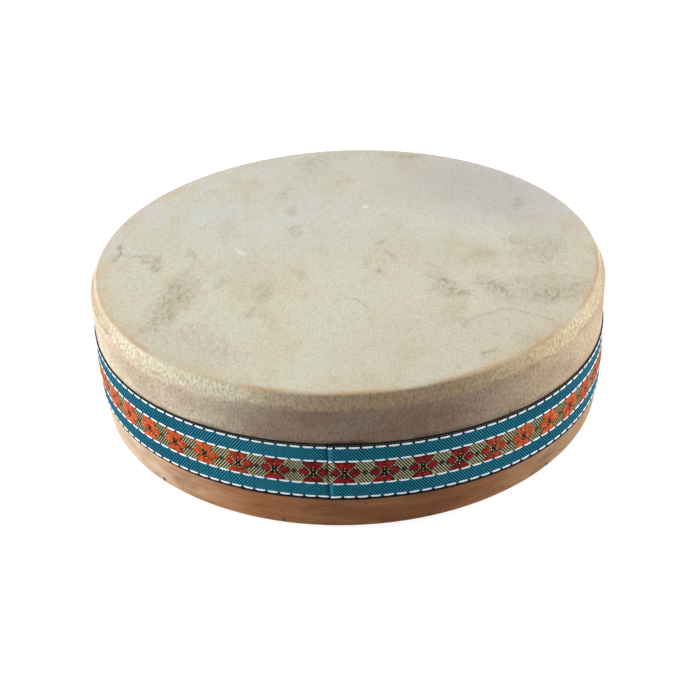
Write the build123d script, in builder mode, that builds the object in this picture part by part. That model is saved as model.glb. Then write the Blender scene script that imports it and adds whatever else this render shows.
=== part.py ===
from build123d import *
import os
from math import atan2, cos, degrees, floor, radians, sin, sqrt, tan

# Ocean drum, in millimetres and degrees. The origin is the middle of the underside, +Z is up
# and the front, where the ribbon's ends meet, is towards -Y.

# Drum
drum_diameter = 254.0
drum_height = 70.0
rim_bevel_width = 3.3
rim_bevel_height = 6.5
rim_rounding = 2.4

# Clearances
glue_line = 0.05
pin_clearance = 0.05
board_clearance = 0.1
running_gap = 0.3
overrun = 1.0

# Bent wood hoop
wall_thickness = 7.0
foot_chamfer = 0.8
inner_edge_chamfer = 0.8
scarf_angle = 90.0
scarf_slope_angle = 20.0
scarf_gap = 0.15

# Hide
hide_thickness = 0.8
skirt_inside_ribbon = 3.0

# Ribbon
ribbon_width = 30.0
ribbon_thickness = 0.9
ribbon_bottom = 14.6
ribbon_seam_angle = -95.3
ribbon_overlap = 14.0
ribbon_step = 4.0

# Plywood bottom board
board_thickness = 4.0
board_ledge = 3.0
board_edge_chamfer = 0.4

# Tacks through the hide's skirt
tack_count = 24
tack_first_angle = 7.5
tack_height = 33.0
tack_length = 5.5
tack_shank_diameter = 1.4
tack_head_diameter = 6.0
tack_head_depth = 0.4
tack_point = 1.6

# Panel pins through the hoop into the board's edge
board_pin_count = 12
board_pin_first_angle = 15.0
board_pin_length = 18.0
board_pin_shank_diameter = 1.2
board_pin_head_diameter = 1.9
board_pin_head_depth = 0.7
board_pin_point = 1.8

# Pins through the lapped ends of the hoop
scarf_pin_height_shares = [0.11, 0.33, 0.59, 0.82]
scarf_pin_length = 6.2
scarf_pin_shank_diameter = 1.4
scarf_pin_head_diameter = 2.6
scarf_pin_head_depth = 0.6
scarf_pin_point = 1.4
pin_tip_share = 0.25

# Steel beads
bead_diameter = 4.5
rim_bead_count = 40
rim_bead_sway = 2.6
swirl_bead_count = 30
swirl_bead_spacing = 6.0
swirl_first_angle = 205.0
row_count = 15
row_spread_share = 0.825
row_bead_spacing = 9.0
row_fill_share = 0.46
row_offset_share = 0.55
row_sway_share = 0.9
golden_angle = 137.508

# Radii and heights that follow
drum_radius = drum_diameter / 2
hide_inner_radius = drum_radius - hide_thickness
shell_depth = hide_thickness + glue_line
shell_outer_radius = drum_radius - shell_depth
shell_inner_radius = shell_outer_radius - wall_thickness
shell_middle_radius = (shell_outer_radius + shell_inner_radius) / 2
shell_top = drum_height - shell_depth
ledge_radius = shell_inner_radius + board_ledge
board_radius = ledge_radius - board_clearance
skirt_bottom = ribbon_bottom + skirt_inside_ribbon
chamber_top = drum_height - hide_thickness
bevel_angle = degrees(atan2(rim_bevel_width, rim_bevel_height))

# The beads lie on the board: a ring along the wall, an arc inside it, and rows inside both
bead_radius = bead_diameter / 2
bead_height = board_thickness + running_gap + bead_radius
bead_drop = chamber_top - running_gap - bead_radius - bead_height
rim_bead_path = shell_inner_radius - running_gap - bead_radius
swirl_bead_path = rim_bead_path - bead_diameter - running_gap
row_field_radius = swirl_bead_path - bead_diameter - running_gap
middle_row = (row_count - 1) / 2
row_spacing = row_spread_share * row_field_radius / middle_row
row_lane_play = (row_spacing - bead_diameter - running_gap) / 2


def rim_corners(depth):
    """The lower and upper corner of the bevelled rim, at a depth inside the drum's outline."""
    lower_z = drum_height - rim_bevel_height - depth * tan(radians(bevel_angle / 2))
    upper_r = drum_radius - rim_bevel_width - depth * tan(radians(45 - bevel_angle / 2))
    return (drum_radius - depth, lower_z), (upper_r, drum_height - depth)


def round_rim(section, depth):
    """Rounds both corners of the rim, about the same centres at every depth."""
    for corner in rim_corners(depth):
        nearest = section.vertices().sort_by_distance(corner)[0]
        fillet(nearest, radius=rim_rounding + shell_depth - depth)


def polar_point(radius, angle):
    return radius * cos(radians(angle)), radius * sin(radians(angle))


def places_round(radius, height, count, first_angle):
    turns = [first_angle + 360 * step / count for step in range(count)]
    return [Location((*polar_point(radius, turn), height), (0, 0, turn)) for turn in turns]


def pins(places, size, clearance=0, reach=0, mode=Mode.ADD):
    """Headed pins driven towards the axis, or with a clearance and a reach, holes for them."""
    length, shank_diameter, head_diameter, head_depth, point = size
    stock = {"rotation": (0, -90, 0), "align": (Align.CENTER, Align.CENTER, Align.MIN), "mode": mode}
    radius = shank_diameter / 2 + clearance
    barrel = length - point
    with Locations(*places):
        with Locations((reach, 0, 0)):
            Cylinder(head_diameter / 2 + clearance, head_depth + clearance + reach, **stock)
            Cylinder(radius, barrel + reach, **stock)
        with Locations((-barrel, 0, 0)):
            Cone(radius, radius * pin_tip_share, point + clearance, **stock)


tack_places = places_round(drum_radius - glue_line, tack_height, tack_count, tack_first_angle)
board_pin_places = places_round(
    shell_outer_radius, board_thickness / 2, board_pin_count, board_pin_first_angle
)
scarf_pin_places = [
    Location((*polar_point(shell_outer_radius, scarf_angle), share * drum_height), (0, 0, scarf_angle))
    for share in scarf_pin_height_shares
]
tack = (tack_length, tack_shank_diameter, tack_head_diameter, tack_head_depth, tack_point)
board_pin = (
    board_pin_length,
    board_pin_shank_diameter,
    board_pin_head_diameter,
    board_pin_head_depth,
    board_pin_point,
)
scarf_pin = (
    scarf_pin_length,
    scarf_pin_shank_diameter,
    scarf_pin_head_diameter,
    scarf_pin_head_depth,
    scarf_pin_point,
)
hole = {"clearance": pin_clearance, "reach": overrun, "mode": Mode.SUBTRACT}

os.makedirs("parts", exist_ok=True)

# Shell: one strip of wood bent into a hoop, its bearing edge bevelled and its foot rebated
with BuildPart() as shell:
    with BuildSketch(Plane.XZ) as shell_section:
        with BuildLine():
            lower_corner, upper_corner = rim_corners(shell_depth)
            Polyline(
                (ledge_radius, 0),
                (shell_outer_radius, 0),
                lower_corner,
                upper_corner,
                (shell_inner_radius, shell_top),
                (shell_inner_radius, board_thickness),
                (ledge_radius, board_thickness),
                close=True,
            )
        make_face()
        round_rim(shell_section, shell_depth)
        foot = shell_section.vertices().sort_by_distance((shell_outer_radius, 0))[0]
        chamfer(foot, length=foot_chamfer)
        inner_edge = shell_section.vertices().sort_by_distance((shell_inner_radius, shell_top))[0]
        chamfer(inner_edge, length=inner_edge_chamfer)
    revolve(axis=Axis.Z)
    # The ends lap in a slanting scarf, with the glue line left open
    scarf_reach = wall_thickness / sin(radians(scarf_slope_angle))
    scarf_middle = (*polar_point(shell_middle_radius, scarf_angle), 0)
    with Locations(Location(scarf_middle, (0, 0, scarf_angle - 90 + scarf_slope_angle))):
        Box(2 * scarf_reach, scarf_gap, 2 * drum_height, mode=Mode.SUBTRACT)
    pins(tack_places, tack, **hole)
    pins(board_pin_places, board_pin, **hole)
    pins(scarf_pin_places, scarf_pin, **hole)
shell.part.label = "shell"
export_step(shell.part, "parts/shell.step")

# Top head: the hide, stretched over the bevelled edge with its skirt down to the ribbon
with BuildPart() as top_head:
    with BuildSketch(Plane.XZ) as hide_section:
        with BuildLine():
            outer_lower, outer_upper = rim_corners(0)
            inner_lower, inner_upper = rim_corners(hide_thickness)
            Polyline(
                (0, chamber_top),
                inner_upper,
                inner_lower,
                (hide_inner_radius, skirt_bottom),
                (drum_radius, skirt_bottom),
                outer_lower,
                outer_upper,
                (0, drum_height),
                close=True,
            )
        make_face()
        round_rim(hide_section, 0)
        round_rim(hide_section, hide_thickness)
    revolve(axis=Axis.Z)
    pins(tack_places, tack, **hole)
top_head.part.label = "top_head"
export_step(top_head.part, "parts/top_head.step")

# Head tacks: broad thin heads let into the skirt, level with it under the ribbon
with BuildPart() as head_tacks:
    pins(tack_places, tack)
head_tacks.part.label = "head_tacks"
export_step(head_tacks.part, "parts/head_tacks.step")

# Bottom board: a plywood disc let into the hoop's rebate, level with its foot
with BuildPart() as bottom_board:
    Cylinder(board_radius, board_thickness, align=(Align.CENTER, Align.CENTER, Align.MIN))
    underside = bottom_board.faces().sort_by(Axis.Z)[0]
    chamfer(underside.edges(), length=board_edge_chamfer)
    pins(board_pin_places, board_pin, **hole)
bottom_board.part.label = "bottom_board"
export_step(bottom_board.part, "parts/bottom_board.step")

# Board pins: through the hoop's foot into the board's edge
with BuildPart() as board_pins:
    pins(board_pin_places, board_pin)
board_pins.part.label = "board_pins"
export_step(board_pins.part, "parts/board_pins.step")

# Scarf pins: through both lapped ends of the hoop, at the back
with BuildPart() as scarf_pins:
    pins(scarf_pin_places, scarf_pin)
scarf_pins.part.label = "scarf_pins"
export_step(scarf_pins.part, "parts/scarf_pins.step")

# Ribbon: one strip round the drum, whose last stretch laps over its other end and steps down
ribbon_inner = drum_radius + glue_line
ribbon_outer = ribbon_inner + ribbon_thickness
lap_inner = ribbon_outer + glue_line
lap_outer = lap_inner + ribbon_thickness
lap_turn = degrees(ribbon_overlap / ribbon_inner)
step_turn = degrees(ribbon_step / ribbon_inner)
lap_end = ribbon_seam_angle + lap_turn
step_end = lap_end + step_turn
round_turn = 360 - step_turn
with BuildPart() as ribbon:
    with BuildSketch(Plane.XY.offset(ribbon_bottom)) as ribbon_plan:
        with BuildLine():
            under_lap = CenterArc((0, 0), lap_inner, ribbon_seam_angle, lap_turn)
            inner_face = CenterArc((0, 0), ribbon_inner, step_end, round_turn)
            outer_face = CenterArc((0, 0), ribbon_outer, step_end, round_turn)
            over_lap = CenterArc((0, 0), lap_outer, ribbon_seam_angle, lap_turn)
            Line(under_lap @ 1, inner_face @ 0)
            Line(inner_face @ 1, outer_face @ 1)
            Line(outer_face @ 0, over_lap @ 1)
            Line(over_lap @ 0, under_lap @ 0)
        make_face()
    extrude(amount=ribbon_width)
ribbon.part.label = "ribbon"
export_step(ribbon.part, "parts/ribbon.step")

# Rim beads: loose steel shot lying along the wall
with BuildPart() as rim_beads:
    rim_places = []
    for bead in range(rim_bead_count):
        sway = degrees(rim_bead_sway / rim_bead_path) * sin(radians(golden_angle * bead))
        rim_places.append((*polar_point(rim_bead_path, 360 * bead / rim_bead_count + sway), bead_height))
    with Locations(*rim_places):
        Sphere(bead_radius)
rim_beads.part.label = "rim_beads"
export_step(rim_beads.part, "parts/rim_beads.step")

# Swirl beads: an arc of shot that runs round inside the rim beads
with BuildPart() as swirl_beads:
    swirl_step = degrees(swirl_bead_spacing / swirl_bead_path)
    swirl_turns = [swirl_first_angle + swirl_step * bead for bead in range(swirl_bead_count)]
    with Locations(*[(*polar_point(swirl_bead_path, turn), bead_height) for turn in swirl_turns]):
        Sphere(bead_radius)
swirl_beads.part.label = "swirl_beads"
export_step(swirl_beads.part, "parts/swirl_beads.step")

# Bead rows: shot scattered over the board, each row free to roll along X in its own lane
for row in range(row_count):
    lane = (row - middle_row) * row_spacing
    lane_reach = sqrt(row_field_radius**2 - (abs(lane) + row_lane_play) ** 2)
    row_beads = floor(row_fill_share * 2 * lane_reach / row_bead_spacing)
    middle_bead = (row_beads - 1) / 2
    row_slack = lane_reach - middle_bead * row_bead_spacing
    row_middle = row_offset_share * row_slack * sin(radians(golden_angle * row))
    row_places = []
    for bead in range(row_beads):
        across = row_lane_play * row_sway_share * sin(radians(golden_angle * (row + bead) * bead))
        along = (bead - middle_bead) * row_bead_spacing
        row_places.append((row_middle + along, lane + across, bead_height))
    with BuildPart() as bead_row:
        with Locations(*row_places):
            Sphere(bead_radius)
    name = f"bead_row_{row + 1:02d}"
    bead_row.part.label = name
    export_step(bead_row.part, f"parts/{name}.step")
    back_limit = max(-sqrt(row_field_radius**2 - y**2) - x for x, y, z in row_places)
    front_limit = min(sqrt(row_field_radius**2 - y**2) - x for x, y, z in row_places)
    print(name, "beads", row_beads, "rolls from", round(back_limit, 2), "to", round(front_limit, 2))

print("the beads drop", round(bead_drop, 2), "when the drum is turned over")
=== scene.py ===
import math

import bpy
from mathutils import Matrix, Vector, noise


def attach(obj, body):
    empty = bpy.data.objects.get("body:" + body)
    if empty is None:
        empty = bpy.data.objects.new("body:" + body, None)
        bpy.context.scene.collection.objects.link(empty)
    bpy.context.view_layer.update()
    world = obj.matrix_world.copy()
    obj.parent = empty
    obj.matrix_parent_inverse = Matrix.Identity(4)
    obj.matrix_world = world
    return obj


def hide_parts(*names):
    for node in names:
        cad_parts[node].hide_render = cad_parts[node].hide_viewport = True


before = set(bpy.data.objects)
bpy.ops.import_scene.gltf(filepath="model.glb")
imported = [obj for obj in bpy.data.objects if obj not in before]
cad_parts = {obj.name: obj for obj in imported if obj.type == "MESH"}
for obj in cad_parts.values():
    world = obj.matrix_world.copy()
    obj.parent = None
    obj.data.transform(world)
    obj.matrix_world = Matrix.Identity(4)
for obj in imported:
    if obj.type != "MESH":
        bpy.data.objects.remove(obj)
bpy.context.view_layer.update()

bpy.ops.object.select_all(action="DESELECT")
mm = 0.001

# Camera: the drum stands on a table a good arm's length away and is looked down on. The
# camera is turned a little about its own axis, as the photograph is.
camera_place = Vector((0.0, -0.57072, 0.37748))
camera_target = Vector((-0.001232, 0.0, 0.013544))
camera_roll = math.radians(-2.4)
lens_length = 67.28
sensor_width = 36.0
nearest_seen = 10 * mm

sight = (camera_target - camera_place).normalized()
level = sight.cross(Vector((0, 0, 1))).normalized()
upright = level.cross(sight)
right = math.cos(camera_roll) * level + math.sin(camera_roll) * upright
above = -math.sin(camera_roll) * level + math.cos(camera_roll) * upright
turned_axes = Matrix((right, above, -sight)).transposed().to_4x4()
bpy.ops.object.camera_add()
camera = bpy.context.object
camera.name = "camera"
camera.matrix_world = Matrix.Translation(camera_place) @ turned_axes
camera.data.sensor_width = sensor_width
camera.data.lens = lens_length
camera.data.clip_start = nearest_seen
bpy.context.scene.camera = camera


# Shell: one strip of pale hardwood, steamed and bent into a hoop, so its grain runs round the
# drum. The foot shows bare below the ribbon. Its colour is painted paler at the left, as a sheen,
# and darker at the front, as shade.
class Wire:
    """A socket of a finish. Sums on it add Math nodes, and node() adds any other kind."""

    def __init__(self, tree, socket=None):
        self.tree = tree
        self.socket = socket

    def node(self, kind, settings, inputs, output=0):
        made = self.tree.nodes.new("ShaderNode" + kind)
        for name, value in settings.items():
            setattr(made, name, value)
        for name, value in inputs.items():
            if isinstance(value, Wire):
                self.tree.links.new(value.socket, made.inputs[name])
            else:
                made.inputs[name].default_value = value
        return Wire(self.tree, made.outputs[output])

    def sum(self, operation, first, second=0.0):
        return self.node("Math", {"operation": operation}, {0: first, 1: second})

    def only(self, operation):
        return self.sum(operation, self)

    def __add__(self, other):
        return self.sum("ADD", self, other)

    def __sub__(self, other):
        return self.sum("SUBTRACT", self, other)

    def __rsub__(self, other):
        return self.sum("SUBTRACT", other, self)

    def __mul__(self, other):
        return self.sum("MULTIPLY", self, other)

    def __truediv__(self, other):
        return self.sum("DIVIDE", self, other)

    def __rtruediv__(self, other):
        return self.sum("DIVIDE", other, self)

    __radd__ = __add__
    __rmul__ = __mul__


def start_finish(name):
    """A new material, the wire to build it on, and its shader."""
    finish = bpy.data.materials.new(name)
    finish.use_nodes = True
    return finish, Wire(finish.node_tree), finish.node_tree.nodes["Principled BSDF"]


def set_finish(wire, shader, **sockets):
    for name, value in sockets.items():
        socket = shader.inputs[name.replace("_", " ")]
        if isinstance(value, Wire):
            wire.tree.links.new(value.socket, socket)
        else:
            socket.default_value = value


def dye(red, green, blue):
    """A colour as an eye reads it, from 0 to 255, in linear light."""
    linear = []
    for part in (red, green, blue):
        share = part / 255
        linear.append(share / 12.92 if share < 0.04045 else ((share + 0.055) / 1.055) ** 2.4)
    return linear + [1]


def spot(wire):
    return wire.node("TexCoord", {}, {}, "Object")


def part_of(vector, axis):
    return vector.node("SeparateXYZ", {}, {0: vector}, axis)


def point(across, along, up):
    wire = next(value for value in (across, along, up) if isinstance(value, Wire))
    return wire.node("CombineXYZ", {}, {0: across, 1: along, 2: up})


def length_of(vector):
    return vector.node("VectorMath", {"operation": "LENGTH"}, {0: vector}, 1)


def blend(mask, first, second, way="MIX"):
    settings = {"data_type": "RGBA", "blend_type": way}
    return mask.node("Mix", settings, {0: mask, 6: first, 7: second}, 2)


def fade(value, start, stop, low=0.0, high=1.0):
    """Runs smoothly from low to high while the value goes from start to stop."""
    limits = {0: value, 1: start, 2: stop, 3: low, 4: high}
    return value.node("MapRange", {"interpolation_type": "SMOOTHSTEP"}, limits)


def cloud(place, scale, detail=3.0, roughness=0.55):
    inputs = {"Vector": place, "Scale": scale, "Detail": detail, "Roughness": roughness}
    return place.node("TexNoise", {}, inputs)


def relief(height, strength, depth):
    return height.node("Bump", {}, {"Height": height, "Strength": strength, "Distance": depth})


def turn_round(place):
    """The angle from the front towards +X. It breaks at the back, where the hoop is lapped."""
    return place.sum("ARCTAN2", part_of(place, 0), 0 - part_of(place, 1))


def speck(arc, height, dot_place, size, squash=1.0):
    """A dot on the side, at a turn in degrees and a height in millimetres."""
    turned, up = dot_place
    sideways = arc - math.radians(turned) * drum_radius
    rise = height - up * mm
    return fade((sideways * sideways + rise * rise * squash) / (size * mm) ** 2, 1.0, 0.1)


def dress(node, finish):
    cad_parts[node].data.materials.clear()
    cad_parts[node].data.materials.append(finish)


drum_radius = 127 * mm

bent_wood, wire, shader = start_finish("bent_wood")
place = spot(wire)
across, along, height = (part_of(place, axis) for axis in range(3))
turn = turn_round(place)
to_front, to_right = turn.only("COSINE"), turn.only("SINE")
arc = turn * drum_radius
reach = length_of(point(across, along, 0))


def streaks(lengthways, crossways, detail, roughness=0.55):
    """Noise drawn out along the bent grain, by its scales along the grain and across it."""
    drawn = point(arc * lengthways, height * crossways, reach * crossways)
    return cloud(drawn, 1.0, detail, roughness)


figure = streaks(20, 70, 3)
grain = streaks(42, 1300, 4, 0.62)
pores = fade(streaks(150, 2600, 2), 0.56, 0.72)
# Painted light: the wood is painted paler at the left flank as a sheen, lighter at the left than
# at the right, and darker at the front as shade.
painted_front_shade = fade((turn - 0.08).only("COSINE"), 0.66, 0.95)
painted_left_sheen = fade(to_front, 0.82, 0.58) * fade(to_right, 0.2, -0.4) * fade(to_front, -0.2, 0.3)
heartwood_with_painted_light = blend(fade(to_right, -0.5, 0.5), dye(240, 205, 170), dye(212, 182, 144))
heartwood_with_painted_light = blend(painted_left_sheen * 0.95, heartwood_with_painted_light, dye(241, 224, 202))
heartwood_with_painted_light = blend(painted_front_shade, heartwood_with_painted_light, dye(187, 131, 87))
figured = fade(figure, 0.38, 0.64) * (0.8 - painted_left_sheen * 0.4)
tone = blend(figured, heartwood_with_painted_light, dye(206, 184, 162), "MULTIPLY")
patches = fade(cloud(point(arc * 48, height * 95, 2.2), 1.0, 2, 0.6), 0.44, 0.68)
tone = blend(patches * 0.35, tone, dye(196, 164, 134), "MULTIPLY")
glow = fade(cloud(point(arc * 14, height * 50, 1.7), 1.0, 4), 0.44, 0.64)
tone = blend(glow * (0.6 - painted_left_sheen * 0.35), tone, dye(255, 218, 172), "MULTIPLY")
tone = blend(fade(grain, 0.34, 0.64) * 0.6, tone, dye(204, 184, 164), "MULTIPLY")

# Flecks in the wood: turn in degrees and height in millimetres, and half width
flecks = (
    ((1.9, 12.6), 1.1), ((-15.4, 7.1), 0.9), ((-33, 4.2), 0.7),
    ((24.5, 8.4), 0.7), ((52, 6.1), 0.9),
)
for fleck_place, size in flecks:
    fleck = speck(arc, height, fleck_place, size, 2.0)
    tone = blend(fleck * 0.5, tone, dye(70, 46, 32))
tone = blend(pores * 0.4, tone, dye(110, 72, 48))
soil = fade(cloud(point(arc * 60, height * 120, reach * 60), 1.0, 4), 0.55, 0.75)
soil = soil * fade(height, 16 * mm, 1 * mm)
tone = blend(soil * 0.4, tone, dye(84, 62, 50))
foot_shade = fade(height, 1.3 * mm, 0.3 * mm)
tone = blend(foot_shade * 0.6, tone, dye(96, 66, 46), "MULTIPLY")
set_finish(
    wire, shader,
    Base_Color=tone,
    Roughness=0.42 + grain * 0.24,
    Specular_IOR_Level=0.3,
    Normal=relief(grain * 0.6 + pores * -0.8, 0.35, 0.12 * mm),
)
dress("shell", bent_wood)


# Bottom board: a disc of thin birch plywood that closes the drum from below and lies level with
# the hoop's foot. Its face veneer runs one way, and its edge shows the plies.
board_radius = 121.8 * mm
ply_pair = 4 / 3 * mm
veneer_wander = 20 * mm

plywood, wire, shader = start_finish("plywood")
place = spot(wire)
across, along, height = (part_of(place, axis) for axis in range(3))
wander = cloud(point(across * 3, along * 9, 0), 1.0, 2) * veneer_wander
figure = cloud(point(across * 5, (along + wander) * 90, 0), 1.0, 4)
grain = cloud(point(across * 30, along * 900, 0), 1.0, 3)
pores = fade(cloud(point(across * 110, along * 1500, 0), 1.0, 2), 0.6, 0.74)
tone = blend(fade(figure, 0.35, 0.68), dye(205, 178, 140), dye(180, 147, 108))
tone = blend(grain * 0.4, tone, dye(186, 160, 128), "MULTIPLY")
tone = blend(pores * 0.5, tone, dye(128, 92, 60))
core = fade((height / ply_pair).only("FRACT"), 0.45, 0.55)
edge_wall = fade(length_of(point(across, along, 0)), board_radius - 0.15 * mm, board_radius)
tone = blend(core * edge_wall * 0.6, tone, dye(120, 84, 52))
set_finish(
    wire, shader,
    Base_Color=tone,
    Roughness=0.5 + grain * 0.2,
    Normal=relief(grain - pores, 0.3, 0.1 * mm),
)
dress("bottom_board", plywood)


# Pins and tacks: plain steel panel pins hold the board in the hoop and the hoop's lap together,
# and broad tacks hold the hide. Their heads have dulled and are a little rusty.
pin_steel, wire, shader = start_finish("steel_pin")
place = spot(wire)
tarnish = fade(cloud(place, 900, 4), 0.42, 0.66)
set_finish(
    wire, shader,
    Base_Color=blend(tarnish, dye(92, 80, 70), dye(62, 46, 36)),
    Metallic=0.6 - tarnish * 0.5,
    Roughness=0.45 + tarnish * 0.35,
    Normal=relief(cloud(place, 2600, 2), 0.3, 0.05 * mm),
)
for node in ("board_pins", "scarf_pins", "head_tacks"):
    dress(node, pin_steel)


# Beads: about two hundred steel shot, tumbled bright, roll about on the board and make the
# sound of the sea. Years of rolling have left them a fine haze.
shot_steel, wire, shader = start_finish("steel_bead")
place = spot(wire)
haze = fade(cloud(place, 420, 4), 0.35, 0.7)
set_finish(
    wire, shader,
    Base_Color=blend(haze, dye(214, 214, 212), dye(172, 168, 160)),
    Metallic=1.0,
    Roughness=0.14 + haze * 0.22,
    Normal=relief(cloud(place, 2400, 3), 0.15, 0.03 * mm),
)
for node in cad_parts:
    if "bead" in node:
        dress(node, shot_steel)


# Top head: one goat hide, soaked, drawn over the bevelled rim and down to the ribbon, and left
# to dry tight. It is uneven where the animal was marked, and scraped thin at the rim.
hide_depth = 0.8 * mm
hide_foot = 17.6 * mm
drum_height = 70 * mm
rim_width = 3.3 * mm
rim_height = 6.5 * mm
rim_rounding = 1.5 * mm
brow_rounding = 1.1 * mm
hide_segments = 360
skirt_rings = 14
rounding_steps = 5
bevel_shares = (0.35, 0.5, 0.65)
head_radii = range(119, 3, -4)


def rounded(corner, before, after, radius, steps):
    """Points round a corner of the rim, from the line before it to the line after it."""
    lead = (corner - before).normalized()
    away = (after - corner).normalized()
    length = radius * math.tan(lead.angle(away) / 2)
    start, stop = corner - lead * length, corner + away * length
    shares = [step / steps for step in range(steps + 1)]
    return [start * (1 - s) ** 2 + corner * 2 * s * (1 - s) + stop * s**2 for s in shares]


foot = Vector((drum_radius, hide_foot))
ridge = Vector((drum_radius, drum_height - rim_height))
brow = Vector((drum_radius - rim_width, drum_height))
middle = Vector((0, drum_height))
rings = [foot.lerp(ridge, ring / skirt_rings) for ring in range(skirt_rings)]
rings += rounded(ridge, foot, brow, rim_rounding, rounding_steps)
rings += [ridge.lerp(brow, share) for share in bevel_shares]
rings += rounded(brow, ridge, middle, brow_rounding, rounding_steps)
rings += [Vector((radius * mm, drum_height)) for radius in head_radii]

bpy.ops.mesh.primitive_circle_add(
    vertices=hide_segments, radius=rings[0].x, location=(0, 0, rings[0].y)
)
hide = bpy.context.object
hide.name = "top_head_hide"
bpy.ops.object.transform_apply()
bpy.ops.object.mode_set(mode="EDIT")
bpy.ops.mesh.select_all(action="SELECT")
for last, ring in zip(rings, rings[1:]):
    bpy.ops.mesh.extrude_region_move(TRANSFORM_OT_translate={"value": (0, 0, ring.y - last.y)})
    share = ring.x / last.x
    bpy.ops.transform.resize(value=(share, share, 1), center_override=(0, 0, ring.y))
bpy.ops.mesh.extrude_region()
bpy.ops.mesh.merge(type="CENTER")
bpy.ops.mesh.select_all(action="SELECT")
bpy.ops.mesh.normals_make_consistent(inside=False)
bpy.ops.object.mode_set(mode="OBJECT")

# The hide dried unevenly: it stands a hair proud in ripples and lumps, most along the ridge,
# and has slipped down a little at the left
hair = 0.1 * mm
ridge_spread = 4 * mm
slip_out, slip_down = 0.2 * mm, 1.3 * mm
head_lump = 0.12 * mm
held_height, free_rise = 40 * mm, 10 * mm
for vertex in hide.data.vertices:
    flat = Vector((vertex.co.x, vertex.co.y, 0))
    outward = flat.normalized() if flat.length > hair else Vector((0, 0, 1))
    near_ridge = math.exp(-(((vertex.co.z - ridge.y) / ridge_spread) ** 2))
    lump = 0.5 + 0.5 * noise.noise(vertex.co * 22 + Vector((3, 1, 4)))
    crease = 0.5 + 0.5 * noise.noise(Vector((flat.x * 70, flat.y * 70, vertex.co.z * 12)))
    slack = min(1, max(0, -outward.x - 0.3) / 0.4) * min(1, max(0, 0.4 - outward.y) / 0.4)
    vertex.co += (outward * slip_out - Vector((0, 0, slip_down))) * slack * near_ridge
    if vertex.co.z < drum_height - hair:
        tight = 0.85 * min(1, 1.3 * outward.x**2)
        swell = lump * 0.25 + crease * 0.18 + near_ridge * (0.55 * lump + 0.35 * crease)
        free = min(1, max(0, (vertex.co.z - held_height) / free_rise))
        vertex.co += outward * swell * (1 - tight) * mm * free
    else:
        vertex.co.z += head_lump * lump

skin_wall = hide.modifiers.new("skin", "SOLIDIFY")
skin_wall.thickness = hide_depth
skin_wall.offset = -1
skin_wall.use_even_offset = True
bpy.ops.object.modifier_apply(modifier="skin")
bpy.ops.object.shade_smooth_by_angle(angle=math.radians(50))

hide_finish, wire, shader = start_finish("hide")
place = spot(wire)
across, along, height = (part_of(place, axis) for axis in range(3))
turn = turn_round(place)
to_front, to_right = turn.only("COSINE"), turn.only("SINE")
rightwards = fade(to_right, -0.5, 0.5)
arc = turn * drum_radius
reach = length_of(point(across, along, 0))
lie = point(across, along * 0.55, height)
broad = cloud(place, 9, 3)
patchy = cloud(lie, 40, 4)
flank = fade(to_front, 0.62, 0.1)
ragged = height + (patchy - 0.5) * flank * (6 * mm)
on_top = fade(ragged, drum_height - 1 * mm - flank * (2.5 * mm), drum_height - 0.2 * mm)
on_rim = fade(height, ridge.y - 0.4 * mm, ridge.y + 0.8 * mm) * (1 - on_top)
fibre = cloud(lie, 300, 4, 0.65)
fine = cloud(place, 1100, 3, 0.6)
pebble = cloud(point(across, along * 0.55, height * 0.5), 1250, 4, 0.8)

# Colour of the head: greenish cream, cooler towards the back and warm along the front edge
tone = blend(fade(along, -50 * mm, 70 * mm), dye(216, 213, 192), dye(212, 213, 205))
tone = blend(fade(broad, 0.4, 0.62) * 0.5, tone, dye(204, 198, 180))
tone = blend(fade(patchy, 0.46, 0.66) * 0.4, tone, dye(207, 200, 170))
smudge = fade(cloud(lie, 80, 5, 0.7), 0.54, 0.74)
tone = blend(smudge * 0.38, tone, dye(192, 172, 146))
tone = blend(fade(fibre, 0.5, 0.7) * 0.16, tone, dye(168, 158, 138))
pinholes = fade(cloud(place, 900, 1), 0.74, 0.8) * fade(along, 0.0, -70 * mm)
tone = blend(pinholes * 0.6, tone, dye(120, 96, 74))

# Stains on the head: place across and along, half length, half width, turn, strength
stains = (
    (-82, -40, 27, 9, 74, 0.48), (-88, -58, 18, 8, 60, 0.5), (-97, -5, 10, 2.5, 125, 0.5),
    (-76, -72, 15, 10, 30, 0.3), (-41, -38, 13, 5, 80, 0.3), (-46, -56, 6, 3, 60, 0.35),
    (46, -36, 12, 7, 115, 0.62), (53, -42, 5, 4, 10, 0.5), (70, -42, 14, 7, 118, 0.6),
    (84, -36, 12, 6, 20, 0.35), (100, -48, 20, 9, 10, 0.62), (92, -42, 24, 14, 10, 0.3),
    (64, -10, 13, 8, 15, 0.18), (96, -8, 20, 16, 60, 0.3), (84, 6, 8, 5, 20, 0.3),
    (-32, 68, 12, 4, 80, 0.25), (-25, 25, 9, 3, 70, 0.45), (-29, 47, 6, 3, 90, 0.3),
    (16, 8, 5, 3, 20, 0.4), (21, -6, 10, 1.4, 104, 0.45), (17, -22, 6, 1.8, 92, 0.4),
    (4, -48, 12, 1.3, 118, 0.3), (94, 46, 8, 5, 70, 0.45), (-14, 105, 20, 9, 70, 0.28),
    (-112, 44, 7, 3, 50, 0.2), (82, -92, 12, 7, 130, 0.3), (-60, -84, 16, 9, 140, 0.28),
    (34, 112, 14, 5, 160, 0.35), (-75, 2, 10, 2, 130, 0.3), (-60, -26, 6, 3, 60, 0.35),
    (-115, 9.6, 9, 2.2, 84, 0.8), (60, -98, 5, 2, 60, 0.5), (46, -68, 6, 4, 30, 0.3),
)

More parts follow.
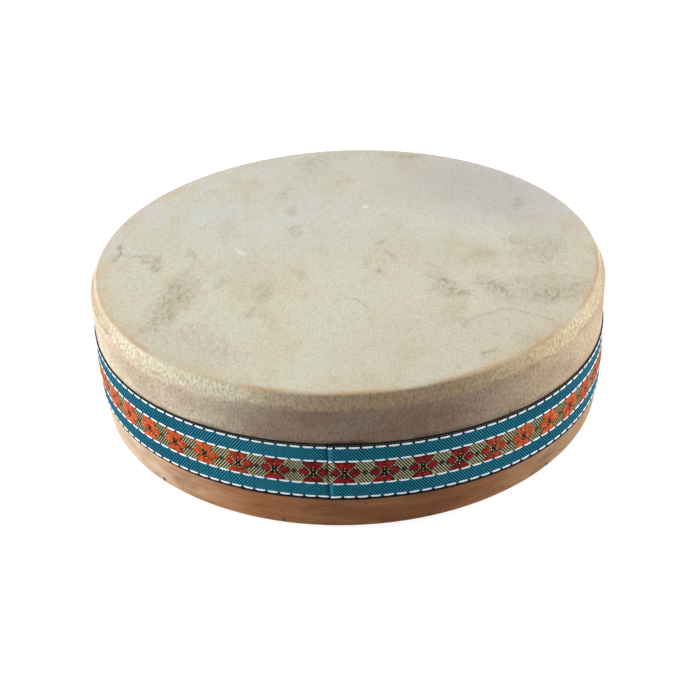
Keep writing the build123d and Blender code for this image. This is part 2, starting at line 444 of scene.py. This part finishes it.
# Healed scratches: middle across and along, radius, half width, the side that shows, strength
scratches = (
    (-107, -8, 14, 2.6, (0.6, 0.8, 0), 0.4),
    (71, -84, 21, 2.4, (0, 1, 0), 0.32),
)
stain_reach = 50 * mm
torn_by = (16 * mm, 16 * mm, 0)
colours = place.node("TexNoise", {}, {"Vector": place, "Scale": 60, "Detail": 4}, "Color")
drift = place.node("VectorMath", {"operation": "SUBTRACT"}, {0: colours, 1: (0.5, 0.5, 0.5)})
torn = place.node("VectorMath", {"operation": "MULTIPLY_ADD"}, {0: drift, 1: torn_by, 2: place})


def larger(first, second):
    return first.sum("MAXIMUM", first, second)


def apart(value, middle):
    """How far a value is from a middle one."""
    return (value - middle).only("ABSOLUTE")


def blot(x, y, length, width, turned, strength):
    """A soft mark with a torn edge, darkest in its middle."""
    shrunk = torn.node("Mapping", {"vector_type": "TEXTURE"}, {
        "Vector": torn,
        "Location": (x * mm, y * mm, drum_height),
        "Rotation": (0, 0, math.radians(turned)),
        "Scale": (length * mm, width * mm, stain_reach),
    })
    return fade(length_of(shrunk), 1.5, 0.1, 0, strength)


def growth_ring(x, y, radius, width, side, strength):
    """A thin curved line where the skin was once scratched, on one side of its middle."""
    centre = (x * mm, y * mm, drum_height)
    away = torn.node("VectorMath", {"operation": "SUBTRACT"}, {0: torn, 1: centre})
    facing = away.node("VectorMath", {"operation": "DOT_PRODUCT"}, {0: away, 1: side}, 1)
    line = fade(apart(length_of(away), radius * mm), width * mm, 0, 0, strength)
    return line * fade(facing, 0.0, radius * mm * 0.5)


marks = blot(*stains[0])
for stain in stains[1:]:
    marks = larger(marks, blot(*stain))
for scratch in scratches:
    marks = larger(marks, growth_ring(*scratch))
marks = marks * fade(fibre + patchy, 0.66, 1.2, 0.25, 1.0)
marks = marks * fade(cloud(lie, 430, 3, 0.7), 0.4, 0.6, 0.45, 1.3)
lilac = blot(76, 66, 62, 34, 130, 0.6)
tone = blend(lilac * on_top, tone, dye(186, 178, 176))
tone = blend(marks * on_top * 0.9, tone, dye(134, 116, 86))
pale_nicks = larger(blot(12, 52, 3, 1.5, 50, 1), blot(-53, 5, 4, 1.3, 150, 0.9))
tone = blend(pale_nicks * on_top * 0.7, tone, dye(240, 240, 232))

# The head's edge is scorched at the front, and glows warm at the front and the left
scorch = fade(reach, 120.8 * mm, 123.2 * mm) * fade(cloud(place, 45, 4), 0.3, 0.6)
scorch = scorch * fade(along, 30 * mm, -30 * mm)
tone = blend(scorch * 0.7, tone, dye(200, 162, 118))
warmed = larger(fade(along, 70 * mm, 0.0), fade(across, -30 * mm, -80 * mm))
warmed = warmed * fade(reach, 110 * mm, 122 * mm) * fade(cloud(place, 31, 4), 0.4, 0.62)
tone = blend(warmed * 0.38, tone, dye(214, 186, 150))

# Colour of the side: pink and tan with smoky patches, and painted darker at the front as shade
wall = point(across, along, height * 2.2)
side = blend(rightwards, dye(230, 220, 197), dye(220, 201, 172))
# Painted shade: the side is painted darker at the front.
side = blend(fade((turn - 0.06).only("COSINE"), 0.8, 0.995), side, dye(188, 165, 146))
smoke = fade(cloud(wall, 27, 4), 0.4, 0.72)
side = blend(smoke * 0.5, side, dye(194, 172, 156), "MULTIPLY")
creases = fade(cloud(point(across, along, height * 0.1), 250, 3), 0.53, 0.7)
creases = creases * fade(cloud(place, 22, 1), 0.46, 0.6)
side = blend(creases * 0.5, side, dye(214, 198, 166))
speckle = fade(cloud(place, 620, 3, 0.7), 0.54, 0.74)
side = blend(speckle * 0.3, side, dye(150, 116, 98))
blush = fade(cloud(wall, 17, 3), 0.48, 0.7)
side = blend(blush * 0.36, side, dye(212, 174, 150))

# Colour of the bevelled rim: tan, painted darker at the front and the flanks as shade, with a
# broken dark line below
rim = blend(rightwards, dye(229, 222, 196), dye(225, 208, 171))
# Painted shade: the rim is painted darker at the flanks and at the front.
rim = blend(flank * 0.95, rim, dye(183, 166, 141))
rim = blend(fade((turn - 0.12).only("COSINE"), 0.84, 0.995), rim, dye(188, 166, 137))
rim = blend(fade(patchy, 0.45, 0.7) * 0.4, rim, dye(196, 160, 118))
ridge_line = apart(height - patchy * (1.2 * mm), ridge.y - 0.1 * mm)
ridge_line = fade(ridge_line, 1.1 * mm, 0.2 * mm) * fade(cloud(place, 42, 3), 0.4, 0.66)
ridge_line = ridge_line * (0.35 + rightwards * 0.2)
colour = blend(on_top + on_rim, side, blend(on_top, rim, tone))

# Freckles on the side: turn in degrees and height in millimetres, and half width
freckles = (
    ((-33.4, 51.9), 0.9), ((-4.6, 52.0), 0.7), ((-1.8, 51.0), 0.5),
    ((-48, 57), 1.0), ((24, 53), 0.7), ((37, 56), 0.6),
)
for freckle_place, size in freckles:
    freckle = speck(arc, height, freckle_place, size)
    colour = blend(freckle * 0.55, colour, dye(92, 66, 52))
colour = blend(ridge_line, colour, dye(104, 84, 68))

# Painted shadow of the ribbon on the skin, along the ribbon's upper edge, which sinks at both
# sides and lies lower at the right
ribbon_width = 30 * mm
ribbon_foot = 16.4 * mm
side_sink = 3.6 * mm
side_tilt = 1.8 * mm
ribbon_top = ribbon_foot + ribbon_width - to_right * (to_right * side_sink + side_tilt)
painted_ribbon_shadow = fade(height - ribbon_top, 2.6 * mm, 0.2 * mm)
painted_ribbon_shadow = painted_ribbon_shadow * fade(cloud(point(arc * 90, height * 200, 0), 1.0, 3), 0.3, 0.7)
colour = blend(painted_ribbon_shadow * 0.5, colour, dye(66, 50, 44))
pebbled = 0.66 + on_rim * 0.12 - on_top * 0.2
pebble_shade = blend(on_top, dye(184, 174, 160), dye(206, 198, 186))
colour = blend(fade(pebble, 0.4, 0.64) * pebbled, colour, pebble_shade, "MULTIPLY")
skin_grain = fibre * 0.5 + pebble * (1.1 + on_rim * 0.5) + fine * 0.3 + patchy * 0.8
set_finish(
    wire, shader,
    Base_Color=colour,
    Roughness=0.62 + fibre * 0.25,
    Specular_IOR_Level=0.2,
    Normal=relief(skin_grain, 0.5, 0.3 * mm),
)
hide.data.materials.append(hide_finish)
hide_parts("top_head")
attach(hide, "drum")


# Ribbon: a woven trim with blue bands, a middle band of flowers and dark selvages, glued round
# the side over the hide's cut edge. Its end is turned under and laps over its start.
ribbon_length = 815 * mm
ribbon_hem = 7 * mm
ribbon_depth = 0.6 * mm
ribbon_radius = drum_radius + 0.35 * mm
layer_lift = 0.62 * mm
fold_radius = layer_lift / 2
lap_length = 14 * mm
step_length = 7 * mm
seam_turn = math.radians(-5.3)
seam_droop = 0.55 * mm
droop_length = 2 * mm
lap_rise = 0.66
ribbon_cells = 340
ribbon_rows = 40
pucker_depth = 0.05 * mm


def lay_on_drum(along, up, proud=0.0):
    """Takes a point of the flat ribbon, along it and up it, to its place round the drum."""
    if along < 0:
        bend = min(-along, math.pi * fold_radius) / fold_radius
        run = fold_radius * (1 - math.sin(bend)) + max(0.0, -along - math.pi * fold_radius)
        lift = 2 * layer_lift - fold_radius * (1 - math.cos(bend)) - proud
    else:
        run = along + fold_radius
        down = min(1.0, max(0.0, (along - lap_length) / step_length))
        lift = 2 * layer_lift * (1 - down * down * (3 - 2 * down)) + proud
    turn = seam_turn + run / ribbon_radius
    sink = side_sink * math.sin(turn) ** 2 + side_tilt * math.sin(turn) - lap_rise * (lift - proud)
    if run < 20 * droop_length:
        sink += seam_droop * math.exp(-run / droop_length)
    reach = ribbon_radius + lift
    return Vector((reach * math.sin(turn), -reach * math.cos(turn), ribbon_foot - sink + up))


def wrap(piece, proud=0.0):
    """Wraps a piece that was made flat round the drum. Its map keeps the flat place, in metres."""
    chart = piece.data.uv_layers.active or piece.data.uv_layers.new(name="flat")
    for corner in piece.data.loops:
        flat = piece.data.vertices[corner.vertex_index].co
        chart.data[corner.index].uv = (flat.x, flat.y)
    for vertex in piece.data.vertices:
        vertex.co = lay_on_drum(vertex.co.x, vertex.co.y, vertex.co.z + proud)


full_length = ribbon_length + ribbon_hem
bpy.ops.mesh.primitive_grid_add(
    x_subdivisions=ribbon_cells, y_subdivisions=ribbon_rows, size=1, calc_uvs=True
)
ribbon = bpy.context.object
ribbon.name = "ribbon_weave"
for vertex in ribbon.data.vertices:
    vertex.co.x = (vertex.co.x + 0.5) * full_length - ribbon_hem
    vertex.co.y = (vertex.co.y + 0.5) * ribbon_width
    pucker = noise.noise(Vector((vertex.co.x * 160, vertex.co.y * 60, 0)))
    vertex.co.z = pucker_depth * pucker
wrap(ribbon)
weave_wall = ribbon.modifiers.new("weave", "SOLIDIFY")
weave_wall.thickness = ribbon_depth
weave_wall.offset = 0
bpy.ops.object.modifier_apply(modifier="weave")
bpy.ops.object.shade_smooth_by_angle(angle=math.radians(60))

# Places of the woven pattern, along the ribbon and up it
flower_pitch = 17.1 * mm
first_flower = 6.9 * mm
dash_pitch = flower_pitch / 3
first_tie = 7.9 * mm
lap_start = ribbon_length - lap_length
band_foot = 8.9 * mm
band_top = 20.99 * mm
band_middle = 14.9 * mm
selvage_foot = 1.7 * mm
selvage_top = 28.2 * mm
selvage_stripe = 29.3 * mm
twill_along = 1.42 * mm
twill_up = 1.85 * mm

weave, wire, shader = start_finish("ribbon_weave")
chart = wire.node("TexCoord", {}, {}, "UV")
run, rise = part_of(chart, 0), part_of(chart, 1)
turn = turn_round(spot(wire))
to_front, to_right = turn.only("COSINE"), turn.only("SINE")


def twill(lean):
    """The slanting lines of the weave, which lean to one side or the other."""
    return apart((run / twill_along + rise * (lean / twill_up)).only("FRACT"), 0.5)


mirrored = fade(to_right, -0.42, -0.12)
rising = fade(twill(-1), 0.3, 0.18) * fade(twill(0.9), 0.5, 0.25, 0.6, 1.0)
falling = fade(twill(1), 0.3, 0.18) * fade(twill(-0.9), 0.5, 0.25, 0.6, 1.0)
dots = rising * (1 - mirrored) + falling * mirrored
worn = cloud(point(run, rise, 0), 450, 3)

# The blue bands, which widen a little at the left
in_band = fade(rise, band_foot, band_foot + 0.4 * mm) * fade(rise, band_top, band_top - 0.39 * mm)
widened = fade(to_right, -0.3, -0.8)
above_foot = fade(rise + widened * (0.4 * mm), selvage_foot, selvage_foot + 0.4 * mm)
below_top = fade(rise - widened * (0.5 * mm), selvage_top, selvage_top - 0.4 * mm)
in_blue = above_foot * below_top * (1 - in_band)
blue = blend(dots, dye(2, 42, 60), dye(58, 178, 208))
blue = blend(fade(worn, 0.4, 0.7) * 0.25, blue, dye(20, 104, 132))
# At the sides, where the lamps fall, the blue is painted darker as shade. The cream and the dark
# ground below are painted for that light too.
painted_light_at_sides = fade(to_front, 0.97, 0.7)
blue = blend(painted_light_at_sides, blue, dye(92, 194, 202), "MULTIPLY")
tie = apart(((run - first_tie) / dash_pitch + 0.5).only("FRACT"), 0.5)
tie = fade(tie, 0.055, 0.02) * fade(to_right, -0.15, -0.5) * fade(worn, 0.4, 0.55)
blue = blend(tie * 0.5, blue, dye(4, 46, 72))

# The ground of the middle band: greenish cream, with a dark diamond between the flowers
from_flower = apart(((run - first_flower) / flower_pitch + 0.5).only("FRACT"), 0.5)
gap_along = (0.5 - from_flower) * flower_pitch
diamond = fade(gap_along + apart(rise, band_middle), 1.9 * mm, 1.2 * mm)
between = fade(gap_along, 4.8 * mm, 3.9 * mm) * (1 - diamond * 0.85)
# At the sides the cream is painted darker, as shade, and the dark ground around the flowers
# browner.
shadow = blend(painted_light_at_sides * (1 - between), dye(10, 18, 14), dye(84, 36, 22))
cream = blend(painted_light_at_sides, dye(252, 248, 200), dye(186, 188, 142))
ground = blend(dots * dots * between, shadow, cream)

# The selvages, the shade beside the lap's end and the shine on its fold
selvage_line = fade(apart(rise, selvage_stripe), 0.3 * mm, 0.1 * mm) * dots
selvage = blend(selvage_line * 0.7, dye(18, 26, 30), dye(150, 152, 136))
tone = blend(in_blue, selvage, blue)
tone = blend(in_band, tone, ground)
seam_shade = fade(run, lap_start - 3.5 * mm, lap_start - 0.5 * mm) + fade(run, 0.6 * mm, 0.1 * mm)
tone = blend(seam_shade * 0.7, tone, dye(6, 20, 30))
fold_shine = fade(run, 0.5 * mm, 0.8 * mm) * fade(run, 2.6 * mm, 1.2 * mm) * in_blue
tone = blend(fold_shine * 0.5, tone, dye(70, 190, 222))
set_finish(
    wire, shader,
    Base_Color=tone,
    Roughness=0.66 + worn * 0.2,
    Specular_IOR_Level=0.1,
    Normal=relief(dots, 0.6, 0.16 * mm),
)
ribbon.data.materials.append(weave)


# Dashes: floats of white thread, three to a flower, in four rows along the bands' edges. The
# thread is given a faint glow, painted light that makes it look whiter than the light on it.
flower_count = 47
visible_end = lap_start - 0.6 * mm
dash_gap = 1.05 * mm
dash_width = 0.92 * mm
dash_depth = 0.3 * mm
dash_tilt = 0.35 * mm
first_thread = 0.2 * mm
shortest_dash = 0.6 * mm
threads_per_metre = 3200
far_offset = 1.1 * mm
top_width_share, top_length_share = 0.8, 0.97
end_taper_share, end_drop_share, bow_share = 0.35, 0.3, 0.1

# Rows of dashes: height, how far along they start, how far they spread at the left
dash_rows = (
    (28.17 * mm, 1.6 * mm, 0.5 * mm),
    (band_top, 1.07 * mm, 0.0),
    (band_foot, 0.0, 0.0),
    (1.73 * mm, -1.25 * mm, -0.4 * mm),
)


def one_piece(name, points, sides):
    """Makes all the copies of a unit into one piece, which is then the only one selected."""
    mesh = bpy.data.meshes.new(name)
    mesh.from_pydata(points, [], sides)
    piece = bpy.data.objects.new(name, mesh)
    bpy.context.collection.objects.link(piece)
    bpy.ops.object.select_all(action="DESELECT")
    bpy.context.view_layer.objects.active = piece
    piece.select_set(True)
    return piece


def copies(name, unit, places):
    """Copies a unit to many places, each with a length, a width and a tilt, as one piece."""
    corners = [vertex.co.copy() for vertex in unit.data.vertices]
    faces = [tuple(face.vertices) for face in unit.data.polygons]
    points, sides = [], []
    for x, y, length, width, tilt in places:
        sides += [tuple(corner + len(points) for corner in face) for face in faces]
        points += [(x + c.x * length, y + c.y * width + c.x * tilt, c.z) for c in corners]
    bpy.data.objects.remove(unit)
    return one_piece(name, points, sides)


bpy.ops.mesh.primitive_cube_add(size=1)
dash = bpy.context.object
bpy.ops.object.mode_set(mode="EDIT")
bpy.ops.mesh.select_mode(type="EDGE")
bpy.ops.mesh.select_all(action="DESELECT")
bpy.ops.object.mode_set(mode="OBJECT")
for edge in dash.data.edges:
    ends = [dash.data.vertices[corner].co for corner in edge.vertices]
    edge.select = abs(ends[0].x - ends[1].x) > 0.5
bpy.ops.object.mode_set(mode="EDIT")
bpy.ops.mesh.subdivide(number_cuts=4)
bpy.ops.object.mode_set(mode="OBJECT")
for vertex in dash.data.vertices:
    end_share = abs(vertex.co.x) * 2
    if vertex.co.z > 0:
        vertex.co.y *= top_width_share
        vertex.co.x *= top_length_share
    vertex.co.y *= 1 - end_taper_share * end_share**4
    vertex.co.y += bow_share * (end_share**2 - 0.5)
    vertex.co.z *= dash_depth * (1 - end_drop_share * end_share**4)
places = []
for row_height, offset, spread in dash_rows:
    for step in range(-3, 3 * flower_count):
        gap = first_flower + step * dash_pitch
        gap += offset + (far_offset - offset) * gap / ribbon_length
        start = max(first_thread, gap + dash_gap / 2)
        stop = min(visible_end, gap + dash_pitch - dash_gap / 2)
        if stop - start > shortest_dash:
            tilt = dash_tilt * noise.noise(Vector((gap * 700, row_height / mm, 0)))
            at_left = min(1, max(0, -2 * math.sin(seam_turn + gap / ribbon_radius) - 0.6))
            up = row_height + spread * at_left * at_left * (3 - 2 * at_left)
            places.append(((start + stop) / 2, up, stop - start, dash_width, tilt))
dashes = copies("ribbon_dashes", dash, places)
wrap(dashes, ribbon_depth / 2)
bpy.ops.object.shade_smooth_by_angle(angle=math.radians(60))

white_thread, wire, shader = start_finish("white_thread")
chart = wire.node("TexCoord", {}, {}, "UV")
run, rise = part_of(chart, 0), part_of(chart, 1)
thread = (rise * threads_per_metre).only("FRACT")
groove = fade(apart(thread, 0.5), 0.28, 0.5)
lint = cloud(point(run * 900, rise * 3000, 0), 1.0, 3)
set_finish(
    wire, shader,
    Base_Color=blend(groove * 0.4 + lint * 0.2, dye(255, 255, 255), dye(228, 236, 240)),
    Roughness=0.5 + lint * 0.2,
    # Painted light: a faint glow that whitens the thread.
    Emission_Color=dye(222, 238, 255),
    Emission_Strength=0.28,
    Normal=relief(1 - groove, 0.5, 0.08 * mm),
)
dashes.data.materials.append(white_thread)


# Flowers: six petals each, woven as plump floats of red and orange thread over the middle band.
# They are red at the front and the back, and orange at both sides.

# Outlines of the petals, and how far down and up they may reach, in millimetres from the heart
petal_outlines = (
    (
        (1.5, 0.0), (2.6, 1.4), (4.3, 2.2), (5.8, 1.6),
        (7.1, 0.1), (5.8, -1.5), (4.2, -2.1), (2.6, -1.3),
    ),
    (
        (-1.3, 0.0), (-2.4, 1.3), (-3.9, 2.0), (-5.3, 1.4),
        (-6.5, 0.0), (-5.4, -1.4), (-3.9, -1.9), (-2.4, -1.2),
    ),
    (
        (-0.2, 5.4), (-2.4, 5.5), (-4.6, 5.3), (-4.2, 3.9),
        (-2.9, 2.3), (-1.2, 1.2), (-0.2, 2.4), (-0.1, 4.0),
    ),
    (
        (0.2, 5.4), (2.3, 5.5), (4.3, 5.3), (4.0, 3.9),
        (2.8, 2.3), (1.2, 1.2), (0.2, 2.4), (0.1, 4.0),
    ),
    (
        (-0.2, -5.6), (-2.6, -5.7), (-5.0, -5.6), (-4.2, -4.0),
        (-2.6, -2.6), (-1.1, -1.7), (-0.3, -2.8), (-0.1, -4.2),
    ),
    (
        (0.2, -5.6), (2.2, -5.7), (4.0, -5.6), (3.6, -4.0),
        (2.4, -2.6), (1.1, -1.7), (0.3, -2.8), (0.1, -4.2),
    ),
)
petal_low, petal_high = -5.7, 5.6
petal_growth = 1.12
flank_growth = 0.2
petal_depth = 0.34 * mm
petal_seat = 0.05 * mm
petal_wall_share = 0.6
petal_top_share = 0.55
pattern_skew = 0.0885
least_flower = 2 * mm
strands_per_metre = 1900

petal_units = []
for outline in petal_outlines:
    bpy.ops.mesh.primitive_circle_add(vertices=len(outline), fill_type="NGON")
    unit = bpy.context.object
    for vertex, (x, y) in zip(unit.data.vertices, outline):
        vertex.co = (x, y, 0)
    heart = sum((vertex.co for vertex in unit.data.vertices), Vector()) / len(outline)
    bpy.ops.object.mode_set(mode="EDIT")
    bpy.ops.mesh.select_all(action="SELECT")
    for lift in (petal_wall_share, 1 - petal_wall_share):
        bpy.ops.mesh.extrude_region_move(TRANSFORM_OT_translate={"value": (0, 0, lift)})
    bpy.ops.transform.resize(
        value=(petal_top_share, petal_top_share, 1), center_override=heart
    )
    bpy.ops.object.mode_set(mode="OBJECT")
    petal_units.append((unit, heart))
points, sides = [], []
for flower in range(flower_count):
    centre = first_flower + flower * flower_pitch
    if centre > visible_end - least_flower:
        continue
    skew = pattern_skew * (1 - centre / ribbon_length)
    at_side = min(1, 1.6 * math.sin(seam_turn + centre / ribbon_radius) ** 2)
    growth = petal_growth + flank_growth * at_side
    for unit, heart in petal_units:
        wobble = 1 + 0.05 * noise.noise(Vector((centre * 900, heart.x, heart.y)))
        for face in unit.data.polygons:
            sides.append(tuple(corner + len(points) for corner in face.vertices))
        for vertex in unit.data.vertices:
            x = heart.x + (vertex.co.x - heart.x) * growth * wobble
            y = heart.y + (vertex.co.y - heart.y) * growth
            along = min(centre + (x + skew * y) * mm, visible_end)
            up = band_middle + max(petal_low, min(petal_high, y)) * mm
            points.append((along, up, vertex.co.z * petal_depth))
for unit, heart in petal_units:
    bpy.data.objects.remove(unit)
petals = one_piece("ribbon_petals", points, sides)
plump = petals.modifiers.new("plump", "SUBSURF")
plump.levels = plump.render_levels = 1
bpy.ops.object.modifier_apply(modifier="plump")
swell = petals.data.attributes.new("swell", "FLOAT", "POINT")
for vertex in petals.data.vertices:
    crown = max(0.0, vertex.co.z / petal_depth)
    bulge = noise.noise(Vector((vertex.co.x * 900, vertex.co.y * 900, 0)))
    swell.data[vertex.index].value = crown * (0.8 + 0.5 * bulge)
    vertex.co.z += petal_depth * 0.9 * crown * bulge
wrap(petals, ribbon_depth / 2 - petal_seat)
bpy.ops.object.mode_set(mode="EDIT")
bpy.ops.mesh.select_all(action="SELECT")
bpy.ops.mesh.normals_make_consistent(inside=False)
bpy.ops.object.mode_set(mode="OBJECT")
bpy.ops.object.shade_smooth_by_angle(angle=math.radians(60))


def front_and_back(wire):
    """1 at the front and the back of the drum, and -1 at both sides."""
    return (turn_round(spot(wire)) * 2 - 0.1).only("COSINE")


petal_thread, wire, shader = start_finish("petal_thread")
chart = wire.node("TexCoord", {}, {}, "UV")
run, rise = part_of(chart, 0), part_of(chart, 1)
to_right = turn_round(spot(wire)).only("SINE")
strand = ((run + rise * 0.2) * strands_per_metre).only("FRACT")
groove = fade(apart(strand, 0.5), 0.22, 0.5)
blotch = cloud(point(run, rise, 0), 900, 3)
lumps = fade(cloud(point(run, rise, 3 * mm), 550, 2), 0.4, 0.62)
tint = fade(cloud(point(run, rise, 11 * mm), 240, 1), 0.36, 0.64)
curl = apart(cloud(point(run, rise, 7 * mm), 750, 1), 0.5)
scarlet = fade(front_and_back(wire) + blotch * 0.25, 0.55, 0.92)
plumpness = wire.node("Attribute", {"attribute_name": "swell"}, {}, "Fac")
orange = blend(lumps, dye(232, 74, 20), dye(255, 130, 46))
deep_red = blend(tint, dye(116, 4, 10), dye(164, 14, 14))
light_red = blend(tint, dye(184, 18, 20), dye(226, 48, 26))
tone = blend(scarlet, orange, blend(lumps, deep_red, light_red))
# Painted highlights: bright patches on the orange petals.
tone = blend(fade(blotch, 0.5, 0.7) * 0.55 * (1 - scarlet), tone, dye(255, 162, 98))
tone = blend(fade(blotch, 0.46, 0.3) * (0.25 + scarlet * 0.35), tone, dye(104, 6, 8))
tone = blend(fade(curl, 0.06, 0.02) * 0.85, tone, dye(64, 10, 10))
tone = blend(fade(plumpness - scarlet * 0.2, 0.55, 0.15) * 0.9, tone, dye(34, 10, 12))
# Painted shade: the petals are painted darker at the far right.
tone = blend(fade(to_right, 0.7, 0.88), tone, dye(224, 216, 216), "MULTIPLY")
set_finish(
    wire, shader,
    Base_Color=blend(groove * 0.4, tone, dye(112, 16, 12)),
    Roughness=0.5 + blotch * 0.2,
    Specular_IOR_Level=0.2,
    Normal=relief(1 - groove, 0.6, 0.12 * mm),
)
petals.data.materials.append(petal_thread)


# Knots: short cream stitches in the flowers' hearts and along their petals, of the same thread
# as the middle band's ground. At both sides of the drum they are orange, as its petals are.
knot_length = 0.6 * mm
knot_width = 0.52 * mm
knot_depth = 0.7 * mm
knot_lift = 0.12 * mm

# Places of the stitches, in millimetres from the heart
knot_places = [(0.0, 2.6), (0.0, 1.1), (-1.3, -0.2), (1.3, -0.2)]
knot_places += [(0.0, -1.2), (0.0, -2.6), (0.0, 5.9)]
for x, y in ((1.5, 0.75), (2.2, 1.45), (3.0, 2.3), (3.8, 3.1), (4.6, 3.9), (5.4, 4.7)):
    knot_places += [(x, y), (-x, y), (x, -y), (-x, -y)]

bpy.ops.mesh.primitive_ico_sphere_add(subdivisions=1, radius=0.5)
knot = bpy.context.object
for vertex in knot.data.vertices:
    vertex.co.z *= knot_depth
places = []
for flower in range(flower_count):
    centre = first_flower + flower * flower_pitch
    skew = pattern_skew * (1 - centre / ribbon_length)
    for x, y in knot_places:
        along = centre + (x + skew * y) * mm
        if along < visible_end:
            places.append((along, band_middle + y * mm, knot_length, knot_width, 0.0))
cream_knots = copies("ribbon_knots", knot, places)
wrap(cream_knots, ribbon_depth / 2 + knot_lift)
bpy.ops.object.shade_smooth_by_angle(angle=math.radians(80))

cream_thread, wire, shader = start_finish("cream_thread")
lint = cloud(spot(wire), 900, 3)
cream = blend(lint, dye(255, 250, 206), dye(232, 222, 172))
set_finish(
    wire, shader,
    Base_Color=blend(fade(front_and_back(wire), 0.7, 0.2), cream, dye(214, 122, 66)),
    Roughness=0.55 + lint * 0.2,
    Normal=relief(lint, 0.4, 0.06 * mm),
)
cream_knots.data.materials.append(cream_thread)

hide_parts("ribbon")
for piece in (ribbon, dashes, petals, cream_knots):
    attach(piece, "drum")


# Stage and light: a plain white table under large soft lamps at both sides and above, so that
# the front of the drum stands in its own shade, as in the photograph. The table is a hair below
# the drum, can be looked through from beneath, and lets light through where the drum touches it.
table_size = 8
table_cells = 8
table_gap = 0.3 * mm
touching_length = 1 * mm
lamp_target = Vector((0, 0, 40 * mm))


def start_nodes(owner):
    """Clears the nodes of a material or a world, and gives the wire to build them on."""
    owner.use_nodes = True
    owner.node_tree.nodes.clear()
    return Wire(owner.node_tree)


def finish_nodes(wire, kind, surface):
    output = wire.tree.nodes.new("ShaderNodeOutput" + kind)
    wire.tree.links.new(surface.socket, output.inputs["Surface"])


def shown(wire):
    """1 for a ray that shows the stage: from the camera, off a shine or through a clear thing."""
    seen = wire.node("LightPath", {}, {}, "Is Camera Ray")
    for ray in ("Is Glossy Ray", "Is Transmission Ray"):
        seen = larger(seen, wire.node("LightPath", {}, {}, ray))
    return seen


bpy.ops.mesh.primitive_grid_add(
    x_subdivisions=table_cells, y_subdivisions=table_cells, size=table_size,
    location=(0, 0, -table_gap),
)
floor = bpy.context.object
floor.name = "floor"
paper = bpy.data.materials.new("white_table")
wire = start_nodes(paper)
matt = wire.node("BsdfDiffuse", {}, {"Color": dye(140, 140, 140)})
glow = wire.node("Emission", {}, {"Color": (1, 1, 1, 1), "Strength": 0.86})
white = wire.node("AddShader", {}, {0: matt, 1: glow})
surface = wire.node("MixShader", {}, {0: shown(wire), 1: matt, 2: white})
ray_length = wire.node("LightPath", {}, {}, "Ray Length")
touching = ray_length.sum("LESS_THAN", ray_length, touching_length)
let_through = larger(touching, wire.node("NewGeometry", {}, {}, "Backfacing"))
clear = wire.node("BsdfTransparent", {}, {})
finish_nodes(wire, "Material", wire.node("MixShader", {}, {0: let_through, 1: surface, 2: clear}))
floor.data.materials.append(paper)

world = bpy.data.worlds.new("studio")
bpy.context.scene.world = world
wire = start_nodes(world)
dim = wire.node("Background", {}, {"Color": (1, 1, 1, 1), "Strength": 0.5})
bright = wire.node("Background", {}, {"Color": (1, 1, 1, 1), "Strength": 1.0})
finish_nodes(wire, "World", wire.node("MixShader", {}, {0: shown(wire), 1: dim, 2: bright}))

# Each lamp: name, place, size and power
lamps = (
    ("left_lamp", (-1.5, 0.12, 0.36), 1.0, 29.0),
    ("right_lamp", (1.45, 0.4, 0.36), 1.0, 28.0),
    ("top_lamp", (0.0, 0.45, 1.45), 1.1, 2.4),
)
for name, position, size, power in lamps:
    bpy.ops.object.light_add(type="AREA", location=position)
    lamp = bpy.context.object
    lamp.name = name
    lamp.data.shape = "DISK"
    lamp.data.size = size
    lamp.data.energy = power
    aim = lamp_target - Vector(position)
    lamp.rotation_euler = aim.to_track_quat("-Z", "Y").to_euler()

bpy.context.scene.view_settings.view_transform = "Standard"
